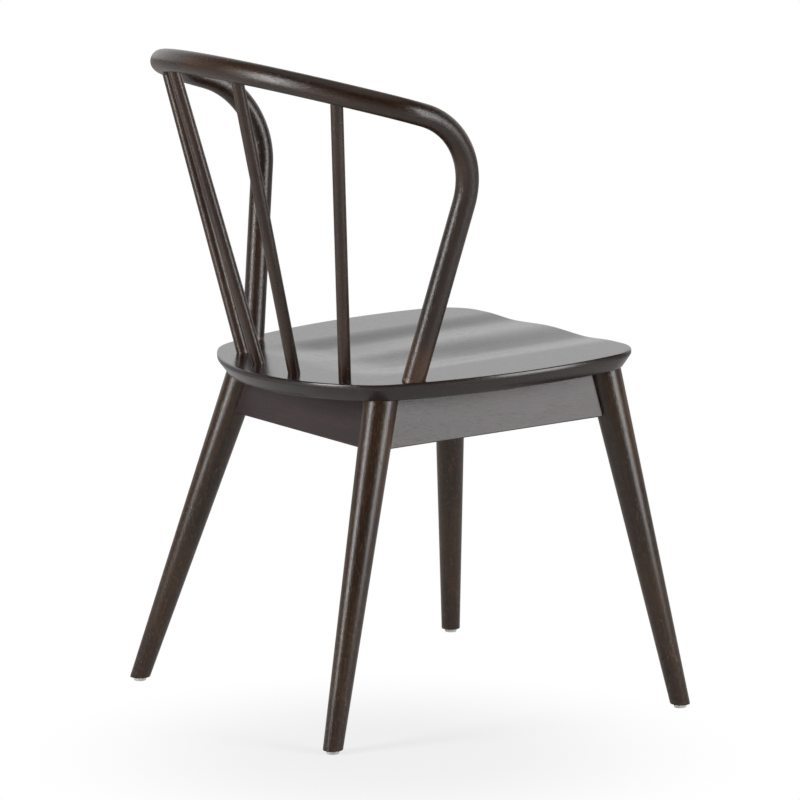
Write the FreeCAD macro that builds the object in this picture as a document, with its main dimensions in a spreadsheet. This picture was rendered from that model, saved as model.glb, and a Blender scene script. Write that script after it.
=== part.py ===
import FreeCAD
import Part
import Sketcher
import math
import os

# Wooden dining chair with a bent back hoop and four spindles.
# Lengths in millimetres, angles in degrees. The sitter faces -Y, so the sitter's right is -X.
# The origin is on the floor, under the middle of the chair.

V = FreeCAD.Vector
UP = V(0, 0, 1)

SIZES = {
    # seat board: a flat blank with rounded plan, undercut below and hollowed on top
    "seat_height": 436.5,
    "seat_pitch": 2.6,
    "seat_thickness": 22.0,
    "seat_half_width": 234.0,
    "seat_widest_back": -90.5,
    "seat_rear_reach": 197.0,
    "seat_front_reach": 248.5,
    "seat_rear_arc": 289.0,
    "seat_side_arc": 525.0,
    "seat_front_arc": 6400.0,
    "seat_rear_corner": 80.0,
    "seat_front_corner": 65.0,
    "seat_rim": 6.0,
    "seat_undercut": 15.0,
    "seat_edge_round": 1.2,
    # hollow of the seat: two thigh dips that join in one hollow towards the back
    "saddle_half_width": 147.0,
    "saddle_edge_lift": 0.6,
    "saddle_dip_spread": 75.0,
    "saddle_dip_depth": 4.2,
    "saddle_ridge_depth": 1.5,
    "saddle_rear_reach": 122.0,
    # legs: straight tapers, placed by their middle at the floor and at a drop below the seat
    "leg_rear_foot_side": 233.4,
    "leg_rear_foot_back": 224.3,
    "leg_rear_head_side": 160.2,
    "leg_rear_head_back": 110.7,
    "leg_front_foot_side": 261.4,
    "leg_front_foot_back": -269.2,
    "leg_front_head_side": 178.6,
    "leg_front_head_back": -212.5,
    "leg_head_drop": 40.5,
    "leg_foot_diameter": 24.0,
    "leg_head_diameter": 42.0,
    "leg_foot_chamfer": 1.0,
    # aprons: boards between the legs, leaning with them
    "apron_thickness": 18.0,
    "apron_drop": 61.0,
    "apron_face_offset": 5.6,
    "apron_edge_chamfer": 1.0,
    # back hoop: one round rod, crest arc, shoulder arcs, arms, knee bends and straight uprights
    "hoop_rod_diameter": 28.0,
    "hoop_crest_height": 810.0,
    "hoop_crest_reach": 270.0,
    "hoop_crest_slope": 16.5,
    "hoop_crest_arc": 299.0,
    "hoop_crest_angle": 53.0,
    "hoop_shoulder_arc": 74.0,
    "hoop_shoulder_angle": 38.5,
    "hoop_arm_straight": 4.0,
    "hoop_knee_arc": 100.0,
    "hoop_foot_side": 187.6,
    "hoop_foot_back": 79.5,
    "hoop_seat_housing": 6.0,
    "hoop_tenon_diameter": 18.0,
    "hoop_tenon_length": 8.0,
    # spindles: straight round rods between the seat and the hoop
    "spindle_diameter": 15.4,
    "spindle_outer_side": 120.2,
    "spindle_outer_back": 135.0,
    "spindle_inner_side": 42.1,
    "spindle_inner_back": 159.1,
    "spindle_outer_angle": 42.1,
    "spindle_inner_angle": 14.8,
    "spindle_seat_depth": 13.0,
    "spindle_hoop_housing": 5.0,
    "spindle_tenon_diameter": 11.0,
    "spindle_tenon_length": 12.0,
    # corner blocks behind the aprons
    "block_drop": 30.0,
    "block_near": 53.0,
    "block_far": 104.0,
    # fasteners and glides
    "dowel_diameter": 8.0,
    "dowel_length": 38.0,
    "dowel_in_leg": 17.0,
    "dowel_pitch": 26.0,
    "screw_diameter": 4.0,
    "screw_head_diameter": 8.0,
    "screw_head_height": 2.6,
    "screw_head_pocket": 10.0,
    "block_screw_grip": 10.0,
    "block_screw_bite": 14.0,
    "block_screw_place": 66.0,
    "seat_screw_place": 36.0,
    "seat_screw_grip": 22.0,
    "seat_screw_bite": 12.0,
    "glide_diameter": 16.0,
    "glide_height": 4.5,
    "glide_round": 1.5,
    "nail_diameter": 2.5,
    "nail_length": 18.0,
    "nail_in_glide": 3.0,
    # clearances
    "glue_gap": 0.1,
    "end_gap": 0.3,
}

doc = FreeCAD.newDocument("dining_chair")
sheet = doc.addObject("Spreadsheet::Sheet", "sizes")
for row, (alias, value) in enumerate(SIZES.items(), start=1):
    sheet.set(f"A{row}", alias)
    sheet.set(f"B{row}", str(value))
    sheet.setAlias(f"B{row}", alias)
doc.recompute()

nodes = []


def size(alias):
    return float(sheet.get(alias))


def node(part, label):
    # A finished sub-part: its label is the name of its file.
    part.Label = label
    nodes.append(part)
    return part


def along(start, direction):
    return FreeCAD.Placement(start, FreeCAD.Rotation(UP, direction))


def unit(vector):
    return V(vector).normalize()


def rod(name, radius, length, start, direction):
    # A cylinder whose radius and length are expressions on the sheet.
    part = doc.addObject("Part::Cylinder", name)
    part.setExpression("Radius", radius)
    part.setExpression("Height", length)
    part.Placement = along(start, direction)
    return part


def fuse(name, parts):
    if len(parts) == 1:
        return parts[0]
    joined = doc.addObject("Part::MultiFuse", name)
    joined.Shapes = parts
    return joined


def cut(name, base, tools):
    result = doc.addObject("Part::Cut", name)
    result.Base = base
    result.Tool = fuse(name + "_tools", tools)
    return result


def group(label, parts):
    together = doc.addObject("Part::Compound", label + "_group")
    together.Links = parts
    return node(together, label)


# The seat frame: its XY plane is the seat's flat top, pitched down to the back.
seat_frame = FreeCAD.Placement(V(0, 0, size("seat_height")),
                               FreeCAD.Rotation(V(1, 0, 0), -size("seat_pitch")))
seat_up = seat_frame.Rotation.multVec(UP)
SIDES = {"right": -1, "left": 1}


def on_seat(side, back, level=0.0):
    return seat_frame.multVec(V(side, back, level))


# Edge of the trimming blocks, longer than the whole chair.
REACH = 2 * size("hoop_crest_height")
# Room that a cutting tool runs on past the face that it enters.
ROOM = 30.0
# Length that a joined or drilled shape starts before the face that it meets.
LAP = 1.0
# Largest distance between things that count as level.
LEVEL = 0.01
# Rounds in which the corner of the hoop's knee settles.
KNEE_ROUNDS = 30


def beyond(name, point, way):
    # A trimming block that fills the room past a plane.
    block = doc.addObject("Part::Box", name)
    block.Length = block.Width = block.Height = REACH
    middle = FreeCAD.Placement(V(-REACH / 2, -REACH / 2, 0), FreeCAD.Rotation())
    block.Placement = along(point, way).multiply(middle)
    return block


def chamfered(name, base, edges, distance):
    # Breaks the numbered edges of a part.
    broken = doc.addObject("Part::Chamfer", name)
    broken.Base = base
    broken.Edges = [(number, distance, distance) for number in edges]
    return broken


# Lines of the legs. Each leg is known by its end ("rear" or "front") and its side.
class Leg:
    def __init__(self, end, side):
        sign = SIDES[side]
        self.name = f"leg_{end}_{side}"
        self.foot = V(sign * size(f"leg_{end}_foot_side"), size(f"leg_{end}_foot_back"), 0)
        self.head = V(sign * size(f"leg_{end}_head_side"), size(f"leg_{end}_head_back"),
                      size("seat_height") - size("leg_head_drop"))
        self.direction = unit(self.head - self.foot)

    def meets(self, point, normal):
        # Where the leg's middle line crosses a plane.
        reach = (point - self.foot).dot(normal) / self.direction.dot(normal)
        return self.foot + self.direction * reach

    def radius_at(self, height):
        share = height / self.head.z
        foot, head = size("leg_foot_diameter") / 2, size("leg_head_diameter") / 2
        return foot + (head - foot) * share


legs = {(end, side): Leg(end, side) for end in ("rear", "front") for side in SIDES}


# Frames of the aprons. X runs from one leg's middle line to the other's, Y points out of the
# chair, and Z leans with the legs. The origin is at half the apron's drop.
class Apron:
    def __init__(self, name, first, second):
        self.name = name
        self.legs = (first, second)
        middle = on_seat(0, 0, -size("seat_thickness") - size("apron_drop") / 2)
        self.start = first.meets(middle, seat_up)
        self.stop = second.meets(middle, seat_up)
        self.run = unit(self.stop - self.start)
        lean = first.direction + second.direction
        self.rise = unit(lean - self.run * lean.dot(self.run))
        self.out = self.rise.cross(self.run)
        if self.out.dot(V(self.start.x + self.stop.x, self.start.y + self.stop.y, 0)) < 0:
            self.start, self.stop = self.stop, self.start
            self.legs = (second, first)
            self.run = self.run * -1
            self.out = self.out * -1
        rotation = FreeCAD.Rotation(self.run, self.out, self.rise, "ZXY")
        self.frame = FreeCAD.Placement(self.start, rotation)
        self.length = (self.stop - self.start).Length
        self.half_height = size("apron_drop") / 2 / self.rise.dot(seat_up)
        self.inner_face = size("apron_face_offset") - size("apron_thickness")

    def place(self, along_run, outward, upward):
        return self.frame.multVec(V(along_run, outward, upward))


aprons = [
    Apron("apron_right", legs["rear", "right"], legs["front", "right"]),
    Apron("apron_left", legs["front", "left"], legs["rear", "left"]),
    Apron("apron_front", legs["front", "right"], legs["front", "left"]),
    Apron("apron_rear", legs["rear", "left"], legs["rear", "right"]),
]


# Middle line of the hoop, worked out for the +X half in the pitched plane of the crest.
def hoop_line():
    slope = math.radians(size("hoop_crest_slope"))
    across = V(1, 0, 0)
    back = V(0, math.cos(slope), math.sin(slope))
    crest = V(0, size("hoop_crest_reach"), size("hoop_crest_height"))
    big, small = size("hoop_crest_arc"), size("hoop_shoulder_arc")

    def spoke(angle):
        turn = math.radians(angle)
        return across * math.sin(turn) + back * math.cos(turn)

    crest_centre = crest - back * big
    bend = size("hoop_crest_angle")
    shoulder_centre = crest_centre + spoke(bend) * (big - small)
    finish = bend + size("hoop_shoulder_angle")
    arm_start = shoulder_centre + spoke(finish) * small
    arm_way = spoke(finish + 90)
    foot = on_seat(size("hoop_foot_side"), size("hoop_foot_back"))
    # The knee bend starts after the straight of the arm, wherever its corner then comes.
    reach = size("hoop_knee_arc")
    for step in range(KNEE_ROUNDS):
        corner = arm_start + arm_way * (size("hoop_arm_straight") + reach)
        down = unit(foot - corner)
        reach = size("hoop_knee_arc") * math.tan(arm_way.getAngle(down) / 2)
    knee_start = corner - arm_way * reach
    knee_end = corner + down * reach
    inward = unit(down - arm_way * down.dot(arm_way))
    knee_centre = knee_start + inward * size("hoop_knee_arc")
    knee_middle = knee_centre + unit(corner - knee_centre) * size("hoop_knee_arc")
    end = foot + down * size("hoop_seat_housing")
    return {
        "crest": crest,
        "crest_at": lambda angle: crest_centre + spoke(angle) * big,
        "shoulder": [crest_centre + spoke(bend) * big,
                     shoulder_centre + spoke(bend + size("hoop_shoulder_angle") / 2) * small,
                     arm_start],
        "knee": [knee_start, knee_middle, knee_end],
        "foot": foot,
        "down": down,
        "end": end,
    }


def mirrored(point):
    return V(-point.x, point.y, point.z)


hoop = hoop_line()


class Spindle:
    def __init__(self, place, side):
        sign = SIDES[side]
        self.name = f"spindle_{place}_{side}"
        self.seat_point = on_seat(sign * size(f"spindle_{place}_side"),
                                  size(f"spindle_{place}_back"))
        self.hoop_point = hoop["crest_at"](sign * size(f"spindle_{place}_angle"))
        self.way = unit(self.hoop_point - self.seat_point)
        self.bottom = self.seat_point - self.way * size("spindle_seat_depth")
        # The full rod stops inside the hoop's skin, and the tenon goes on past its middle.
        short = size("hoop_rod_diameter") / 2 - size("spindle_hoop_housing")
        self.shoulder = self.hoop_point - self.way * short


spindles = [Spindle(place, side) for place in ("outer", "inner") for side in SIDES]

# Seat outline: arcs that run into each other, counter-clockwise from the front.
def inner_tangent_centre(first, first_radius, second, second_radius, radius):
    # Centre of a small arc that touches two larger arcs from inside.
    a, b = first_radius - radius, second_radius - radius
    gap = second - first
    base = (a * a - b * b + gap.Length ** 2) / (2 * gap.Length)
    rise = math.sqrt(a * a - base * base)
    way = unit(gap)
    return first + way * base + V(way.y, -way.x, 0) * rise


def seat_outline():
    rear_arc, side_arc = size("seat_rear_arc"), size("seat_side_arc")
    front_arc = size("seat_front_arc")
    rear = V(0, size("seat_rear_reach") - rear_arc, 0)
    side = V(size("seat_half_width") - side_arc, size("seat_widest_back"), 0)
    front = V(0, front_arc - size("seat_front_reach"), 0)
    rear_corner = inner_tangent_centre(rear, rear_arc, side, side_arc,
                                       size("seat_rear_corner"))
    front_corner = inner_tangent_centre(side, side_arc, front, front_arc,
                                        size("seat_front_corner"))

    def heading(start, stop):
        way = stop - start
        return math.atan2(way.y, way.x)

    front_end = heading(front, front_corner)
    side_start = heading(side, front_corner)
    side_end = heading(side, rear_corner)
    rear_start = heading(rear, rear_corner)
    half = [
        (front_corner, "seat_front_corner", front_end, side_start),
        (side, "seat_side_arc", side_start, side_end),
        (rear_corner, "seat_rear_corner", side_end, rear_start),
    ]
    arcs = [(front, "seat_front_arc", -math.pi - front_end, front_end)]
    arcs += half
    arcs.append((rear, "seat_rear_arc", rear_start, math.pi - rear_start))
    for centre, alias, start, stop in reversed(half):
        arcs.append((mirrored(centre), alias, math.pi - stop, math.pi - start))
    return arcs


def plane_of(body, role):
    return next(item for item in body.Origin.OriginFeatures if item.Role == role)


def new_sketch(body, name, role, offset=0.0):
    sketch = body.newObject("Sketcher::SketchObject", name)
    sketch.AttachmentSupport = [(plane_of(body, role), "")]
    sketch.MapMode = "FlatFace"
    sketch.AttachmentOffset = FreeCAD.Placement(V(0, 0, offset), FreeCAD.Rotation())
    return sketch


def close_up(sketch):
    # Ties the end of each edge of a closed outline to the start of the next.
    count = sketch.GeometryCount
    for index in range(count):
        sketch.addConstraint(Sketcher.Constraint("Coincident", index, 2, (index + 1) % count, 1))


def edges_at(shape, level):
    # Names of the edges that lie flat at one level of the seat frame.
    found = []
    for index, edge in enumerate(shape.Edges, start=1):
        box = edge.BoundBox
        if abs(box.ZMin - level) < LEVEL and abs(box.ZMax - level) < LEVEL:
            found.append(f"Edge{index}")
    return found


def saddle_section(body, index, back, width, spread, dip, ridge):
    # One cross-section of the hollowing tool: two dips with a ridge between, closed above.
    sketch = new_sketch(body, f"saddle_section_{index}", "XZ_Plane", -back)
    half = [(width, size("saddle_edge_lift")), ((width + spread) / 2, -dip / 2),
            (spread, -dip), (spread / 2, -(dip + ridge) / 2)]
    points = [V(-x, y, 0) for x, y in half] + [V(0, -ridge, 0)]
    points += [V(x, y, 0) for x, y in reversed(half)]
    curve = Part.BSplineCurve()
    curve.interpolate(points)
    corners = [V(points[-1].x, ROOM, 0), V(points[0].x, ROOM, 0)]
    sketch.addGeometry([
        curve,
        Part.LineSegment(points[-1], corners[0]),
        Part.LineSegment(corners[0], corners[1]),
        Part.LineSegment(corners[1], points[0]),
    ], False)
    return sketch


def make_seat():
    body = doc.addObject("PartDesign::Body", "seat_blank")
    outline = new_sketch(body, "seat_outline", "XY_Plane")
    arcs = seat_outline()
    for centre, alias, start, stop in arcs:
        circle = Part.Circle(centre, UP, size(alias))
        outline.addGeometry(Part.ArcOfCircle(circle, start, stop), False)
    close_up(outline)
    for index, (centre, alias, start, stop) in enumerate(arcs):
        number = outline.addConstraint(Sketcher.Constraint("Radius", index, size(alias)))
        outline.setExpression(f"Constraints[{number}]", f"sizes.{alias}")
    pad = body.newObject("PartDesign::Pad", "board")
    pad.Profile = outline
    pad.setExpression("Length", "sizes.seat_thickness")
    pad.Reversed = True
    doc.recompute()

    bevel = body.newObject("PartDesign::Chamfer", "undercut")
    bevel.Base = (pad, edges_at(pad.Shape, -size("seat_thickness")))
    bevel.ChamferType = "Two distances"
    bevel.setExpression("Size", "sizes.seat_thickness - sizes.seat_rim")
    bevel.setExpression("Size2", "sizes.seat_undercut")
    doc.recompute()
    soften = body.newObject("PartDesign::Fillet", "eased_edges")
    soften.Base = (bevel, edges_at(bevel.Shape, 0) + edges_at(bevel.Shape, -size("seat_rim")))
    soften.setExpression("Radius", "sizes.seat_edge_round")
    doc.recompute()

    # The hollow: dips deepest under the thighs, running out at the front edge and the rear.
    # Each station has its place, then shares of the half width, spread, dip and ridge.
    front, reach = size("seat_front_reach"), size("saddle_rear_reach")
    width, spread = size("saddle_half_width"), size("saddle_dip_spread")
    dip, ridge = size("saddle_dip_depth"), size("saddle_ridge_depth")
    stations = [
        (-1.03 * front, 1.0, 1.0, 0.62, 0.0),
        (-0.70 * front, 1.0, 1.0, 0.83, 0.1),
        (-0.35 * front, 1.0, 1.0, 1.0, 0.5),
        (0.05 * reach, 0.98, 0.98, 0.98, 1.0),
        (0.58 * reach, 0.90, 0.92, 0.58, 0.9),
        (reach, 0.72, 0.80, -0.08, -0.2),
    ]
    sections = []
    for index, (back, wide, apart, deep, middle) in enumerate(stations):
        sections.append(saddle_section(body, index, back, width * wide, spread * apart,
                                       dip * deep, ridge * middle))
    doc.recompute()
    saddle = body.newObject("PartDesign::SubtractiveLoft", "saddle")
    saddle.Profile = sections[0]
    saddle.Sections = sections[1:]
    doc.recompute()

    body.Placement = seat_frame

    # Housings for the hoop and sockets for the spindles and seat screws.
    tools = []
    for side, sign in SIDES.items():
        foot = hoop["foot"] if sign > 0 else mirrored(hoop["foot"])
        down = hoop["down"] if sign > 0 else mirrored(hoop["down"])
        above = foot - down * ROOM
        housing = rod(f"hoop_housing_{side}", "sizes.hoop_rod_diameter / 2 + sizes.glue_gap",
                      f"{ROOM} + sizes.hoop_seat_housing", above, down)
        mortise = rod(f"hoop_mortise_{side}", "sizes.hoop_tenon_diameter / 2 + sizes.glue_gap",
                      f"{ROOM} + sizes.hoop_seat_housing + sizes.hoop_tenon_length"
                      " + sizes.end_gap", above, down)
        tools += [housing, mortise]
    for spindle in spindles:
        above = spindle.seat_point + spindle.way * ROOM
        tools.append(rod(spindle.name + "_socket",
                         "sizes.spindle_diameter / 2 + sizes.glue_gap",
                         f"{ROOM} + sizes.spindle_seat_depth + sizes.end_gap",
                         above, spindle.way * -1))
    for leg in legs.values():
        tools.append(rod(leg.name + "_seat_pilot", "sizes.screw_diameter / 2 + sizes.glue_gap / 2",
                         f"sizes.seat_screw_bite + sizes.end_gap + {LAP}",
                         block_point(leg, "seat_screw_place", "seat_screw_place",
                                     -size("seat_thickness") - LAP), seat_up))
    node(cut("seat_board", body, tools), "seat")


def inward_ways(leg):
    # Unit vectors from a leg along its two aprons.
    ways = []
    for apron in aprons:
        if apron.legs[0] is leg:
            ways.append(apron.run)
        elif apron.legs[1] is leg:
            ways.append(apron.run * -1)
    return ways


def block_point(leg, first, second, level):
    # A point behind the aprons, measured along both from the leg's middle line.
    ways = inward_ways(leg)
    middle = leg.meets(on_seat(0, 0, -size("seat_thickness") - size("apron_drop") / 2), seat_up)
    first = size(first) if first else 0
    second = size(second) if second else 0
    point = seat_frame.inverse().multVec(middle + ways[0] * first + ways[1] * second)
    return seat_frame.multVec(V(point.x, point.y, level))


def make_hoop():
    shoulder, knee = hoop["shoulder"], hoop["knee"]
    half = [
        Part.LineSegment(hoop["end"], knee[2]).toShape(),
        Part.Arc(knee[2], knee[1], knee[0]).toShape(),
        Part.LineSegment(knee[0], shoulder[2]).toShape(),
        Part.Arc(shoulder[2], shoulder[1], shoulder[0]).toShape(),
    ]
    crest = Part.Arc(shoulder[0], hoop["crest"], mirrored(shoulder[0])).toShape()
    other = [
        Part.Arc(mirrored(shoulder[0]), mirrored(shoulder[1]), mirrored(shoulder[2])).toShape(),
        Part.LineSegment(mirrored(shoulder[2]), mirrored(knee[0])).toShape(),
        Part.Arc(mirrored(knee[0]), mirrored(knee[1]), mirrored(knee[2])).toShape(),
        Part.LineSegment(mirrored(knee[2]), mirrored(hoop["end"])).toShape(),
    ]
    # A line in space can't be a sketch, so this one is set as a wire.
    line = doc.addObject("Part::Feature", "hoop_middle_line")
    line.Shape = Part.Wire(half + [crest] + other)
    ring = doc.addObject("Part::Circle", "hoop_section")
    ring.setExpression("Radius", "sizes.hoop_rod_diameter / 2")
    ring.Placement = along(hoop["end"], hoop["down"] * -1)
    bent = doc.addObject("Part::Sweep", "hoop_bent_rod")
    bent.Sections = [ring]
    bent.Spine = (line, [f"Edge{index + 1}" for index in range(len(line.Shape.Edges))])
    bent.Solid = True
    bent.Frenet = False
    tenons = []
    for side, sign in SIDES.items():
        end = hoop["end"] if sign > 0 else mirrored(hoop["end"])
        down = hoop["down"] if sign > 0 else mirrored(hoop["down"])
        tenons.append(rod(f"hoop_tenon_{side}", "sizes.hoop_tenon_diameter / 2",
                          f"sizes.hoop_tenon_length + {LAP}", end - down * LAP, down))
    whole = fuse("hoop_with_tenons", [bent] + tenons)
    tools = []
    for spindle in spindles:
        entry = spindle.shoulder + spindle.way * size("end_gap")
        tools.append(rod(spindle.name + "_hoop_housing",
                         "sizes.spindle_diameter / 2 + sizes.glue_gap", f"{ROOM}",
                         entry, spindle.way * -1))
        tools.append(rod(spindle.name + "_hoop_mortise",
                         "sizes.spindle_tenon_diameter / 2 + sizes.glue_gap",
                         f"sizes.spindle_tenon_length + sizes.end_gap + {LAP}",
                         spindle.shoulder - spindle.way * LAP, spindle.way))
    node(cut("hoop_mortised", whole, tools), "back_hoop")


def make_spindles():
    for spindle in spindles:
        straight = doc.addObject("Part::Cylinder", spindle.name + "_rod")
        straight.setExpression("Radius", "sizes.spindle_diameter / 2")
        straight.Height = (spindle.shoulder - spindle.bottom).Length
        straight.Placement = along(spindle.bottom, spindle.way)
        tenon = rod(spindle.name + "_tenon", "sizes.spindle_tenon_diameter / 2",
                    f"sizes.spindle_tenon_length + {LAP}",
                    spindle.shoulder - spindle.way * LAP, spindle.way)
        node(fuse(spindle.name + "_turned", [straight, tenon]), spindle.name)


def leg_cone(leg, name, gap):
    # The leg's full taper, longer than the leg at both ends.
    spare = 2 * size("leg_head_drop")
    cone = doc.addObject("Part::Cone", name)
    run = (leg.head - leg.foot).Length
    slope = (size("leg_head_diameter") - size("leg_foot_diameter")) / 2 / run
    cone.Radius1 = size("leg_foot_diameter") / 2 - slope * spare + gap
    cone.Radius2 = size("leg_head_diameter") / 2 + slope * spare + gap
    cone.Height = run + 2 * spare
    cone.Placement = along(leg.foot - leg.direction * spare, leg.direction)
    return cone


def dowel_seats(apron):
    # For each dowel: where it crosses from leg to apron, and the way into the apron.
    pitch = size("dowel_pitch")
    shift = pitch / 4 if apron.name in ("apron_left", "apron_right") else -pitch / 4
    seats = []
    for leg, way in zip(apron.legs, (apron.run, apron.run * -1)):
        for rise in (pitch / 2 + shift, -pitch / 2 + shift):
            middle = apron.inner_face + size("apron_thickness") / 2
            level = apron.place(0, middle, rise)
            axis = leg.meets(level, apron.rise)
            offset = apron.frame.inverse().multVec(axis).y - middle
            reach = math.sqrt(leg.radius_at(axis.z) ** 2 - offset ** 2)
            start = apron.frame.inverse().multVec(axis)
            crossing = apron.place(start.x, middle, rise) + way * reach
            seats.append((leg, crossing, way))
    return seats


def make_legs():
    for leg in legs.values():
        cone = leg_cone(leg, leg.name + "_taper", 0)
        tools = [beyond(leg.name + "_above", under_seat(), seat_up),
                 beyond(leg.name + "_below", V(0, 0, size("glide_height")), UP * -1)]
        for apron in aprons:
            for number, (owner, crossing, way) in enumerate(dowel_seats(apron)):
                if owner is leg:
                    tools.append(rod(f"{leg.name}_{apron.name}_hole_{number}",
                                     "sizes.dowel_diameter / 2 + sizes.glue_gap",
                                     f"sizes.dowel_in_leg + sizes.end_gap + {ROOM}",
                                     crossing + way * ROOM, way * -1))
        tools.append(rod(leg.name + "_nail_hole", "sizes.nail_diameter / 2 + sizes.glue_gap / 2",
                         f"sizes.nail_length - sizes.nail_in_glide + sizes.end_gap + {LAP}",
                         glide_point(leg) + V(0, 0, size("glide_height") - LAP), UP))
        drilled = cut(leg.name + "_drilled", cone, tools)
        doc.recompute()
        foot = [number for number, edge in enumerate(drilled.Shape.Edges, start=1)
                if edge.BoundBox.ZMax < size("glide_height") + LEVEL
                and edge.Length > size("leg_foot_diameter")]
        node(chamfered(leg.name + "_eased", drilled, foot, size("leg_foot_chamfer")), leg.name)


def under_seat():
    # A point on the seat's flat underside.
    return on_seat(0, 0, -size("seat_thickness"))


def lower_edges(apron, board):
    # Numbers of the two long edges at the foot of an apron's board.
    found = []
    for number, edge in enumerate(board.Shape.Edges, start=1):
        middle = apron.frame.inverse().multVec(edge.CenterOfMass)
        if edge.Length > size("apron_drop") * 2 and middle.z < 0:
            found.append(number)
    return found


def make_aprons():
    for apron in aprons:
        board = doc.addObject("Part::Box", apron.name + "_board")
        board.Length = apron.length
        board.setExpression("Width", "sizes.apron_thickness")
        board.Height = 2 * apron.half_height + size("apron_thickness") / 2
        board.Placement = apron.frame.multiply(
            FreeCAD.Placement(V(0, apron.inner_face, -apron.half_height), FreeCAD.Rotation()))
        doc.recompute()
        eased = chamfered(apron.name + "_eased", board, lower_edges(apron, board),
                          size("apron_edge_chamfer"))
        tools = [beyond(apron.name + "_above", under_seat(), seat_up)]
        for leg in apron.legs:
            tools.append(leg_cone(leg, f"{apron.name}_{leg.name}_cope", size("glue_gap")))
        for number, (leg, crossing, way) in enumerate(dowel_seats(apron)):
            tools.append(rod(f"{apron.name}_dowel_hole_{number}",
                             "sizes.dowel_diameter / 2 + sizes.glue_gap",
                             "sizes.dowel_length + sizes.end_gap",
                             crossing - way * size("dowel_in_leg"), way))
        for number in range(2):
            start, way = block_screw(apron, number)
            tools.append(rod(f"{apron.name}_pilot_{number}",
                             "sizes.screw_diameter / 2 + sizes.glue_gap / 2",
                             "sizes.block_screw_grip + sizes.block_screw_bite + sizes.end_gap",
                             start, way))
        node(cut(apron.name + "_coped", eased, tools), apron.name)


def block_screw(apron, number):
    # Where the screw of a corner block starts under its head, and its way into the apron.
    place = size("block_screw_place")
    along_run = place if number == 0 else apron.length - place
    rise = (size("apron_drop") - size("block_drop")) / 2
    start = apron.place(along_run, apron.inner_face - size("block_screw_grip"), rise)
    return start, apron.out


def make_blocks():
    for leg in legs.values():
        base_level = -size("seat_thickness") - size("block_drop")
        corners = [
            block_point(leg, "block_near", None, base_level),
            block_point(leg, "block_far", None, base_level),
            block_point(leg, None, "block_far", base_level),
            block_point(leg, None, "block_near", base_level),
        ]
        name = leg.name.replace("leg", "corner_block")
        face = doc.addObject("Part::Feature", name + "_plan")
        face.Shape = Part.Face(Part.makePolygon(corners + corners[:1]))
        prism = doc.addObject("Part::Extrusion", name + "_prism")
        prism.Base = face
        prism.DirMode = "Custom"
        prism.Dir = seat_up
        prism.setExpression("LengthFwd", "sizes.block_drop")
        prism.Solid = True
        tools = []
        for apron in aprons:
            if leg not in apron.legs:
                continue
            number = apron.legs.index(leg)
            inner = apron.place(0, apron.inner_face - size("glue_gap"), 0)
            tools.append(beyond(f"{name}_{apron.name}_side", inner, apron.out))
            start, way = block_screw(apron, number)
            tools.append(rod(f"{name}_{apron.name}_clear",
                             "sizes.screw_diameter / 2 + sizes.glue_gap", f"{2 * ROOM}",
                             start - way * ROOM, way))
            tools.append(rod(f"{name}_{apron.name}_pocket", "sizes.screw_head_pocket / 2",
                             f"{2 * ROOM}", start, way * -1))
        head = seat_screw_start(leg)
        tools.append(rod(f"{name}_seat_clear", "sizes.screw_diameter / 2 + sizes.glue_gap",
                         f"{2 * ROOM}", head - seat_up, seat_up))
        tools.append(rod(f"{name}_seat_pocket", "sizes.screw_head_pocket / 2",
                         f"{2 * ROOM}", head, seat_up * -1))
        node(cut(name + "_drilled", prism, tools), name)


def seat_screw_start(leg):
    return block_point(leg, "seat_screw_place", "seat_screw_place",
                       -size("seat_thickness") - size("seat_screw_grip"))


def screw(name, start, way, length):
    # A pan-head wood screw: head outside, shank along the way.
    shank = rod(name + "_shank", "sizes.screw_diameter / 2", length, start, way)
    head = rod(name + "_head", "sizes.screw_head_diameter / 2", "sizes.screw_head_height",
               start, way * -1)
    return fuse(name, [shank, head])


def make_fasteners():
    dowels, block_screws, seat_screws = [], [], []
    for apron in aprons:
        for number, (leg, crossing, way) in enumerate(dowel_seats(apron)):
            dowels.append(rod(f"{apron.name}_dowel_{number}", "sizes.dowel_diameter / 2",
                              "sizes.dowel_length", crossing - way * size("dowel_in_leg"), way))
        for number in range(2):
            start, way = block_screw(apron, number)
            block_screws.append(screw(f"{apron.name}_screw_{number}", start, way,
                                      "sizes.block_screw_grip + sizes.block_screw_bite"))
    for leg in legs.values():
        seat_screws.append(screw(leg.name + "_seat_screw", seat_screw_start(leg), seat_up,
                                 "sizes.seat_screw_grip + sizes.seat_screw_bite"))
    group("apron_dowels", dowels)
    group("block_screws", block_screws)
    group("seat_screws", seat_screws)


def glide_point(leg):
    return leg.meets(V(0, 0, size("glide_height")), UP) - V(0, 0, size("glide_height"))


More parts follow.
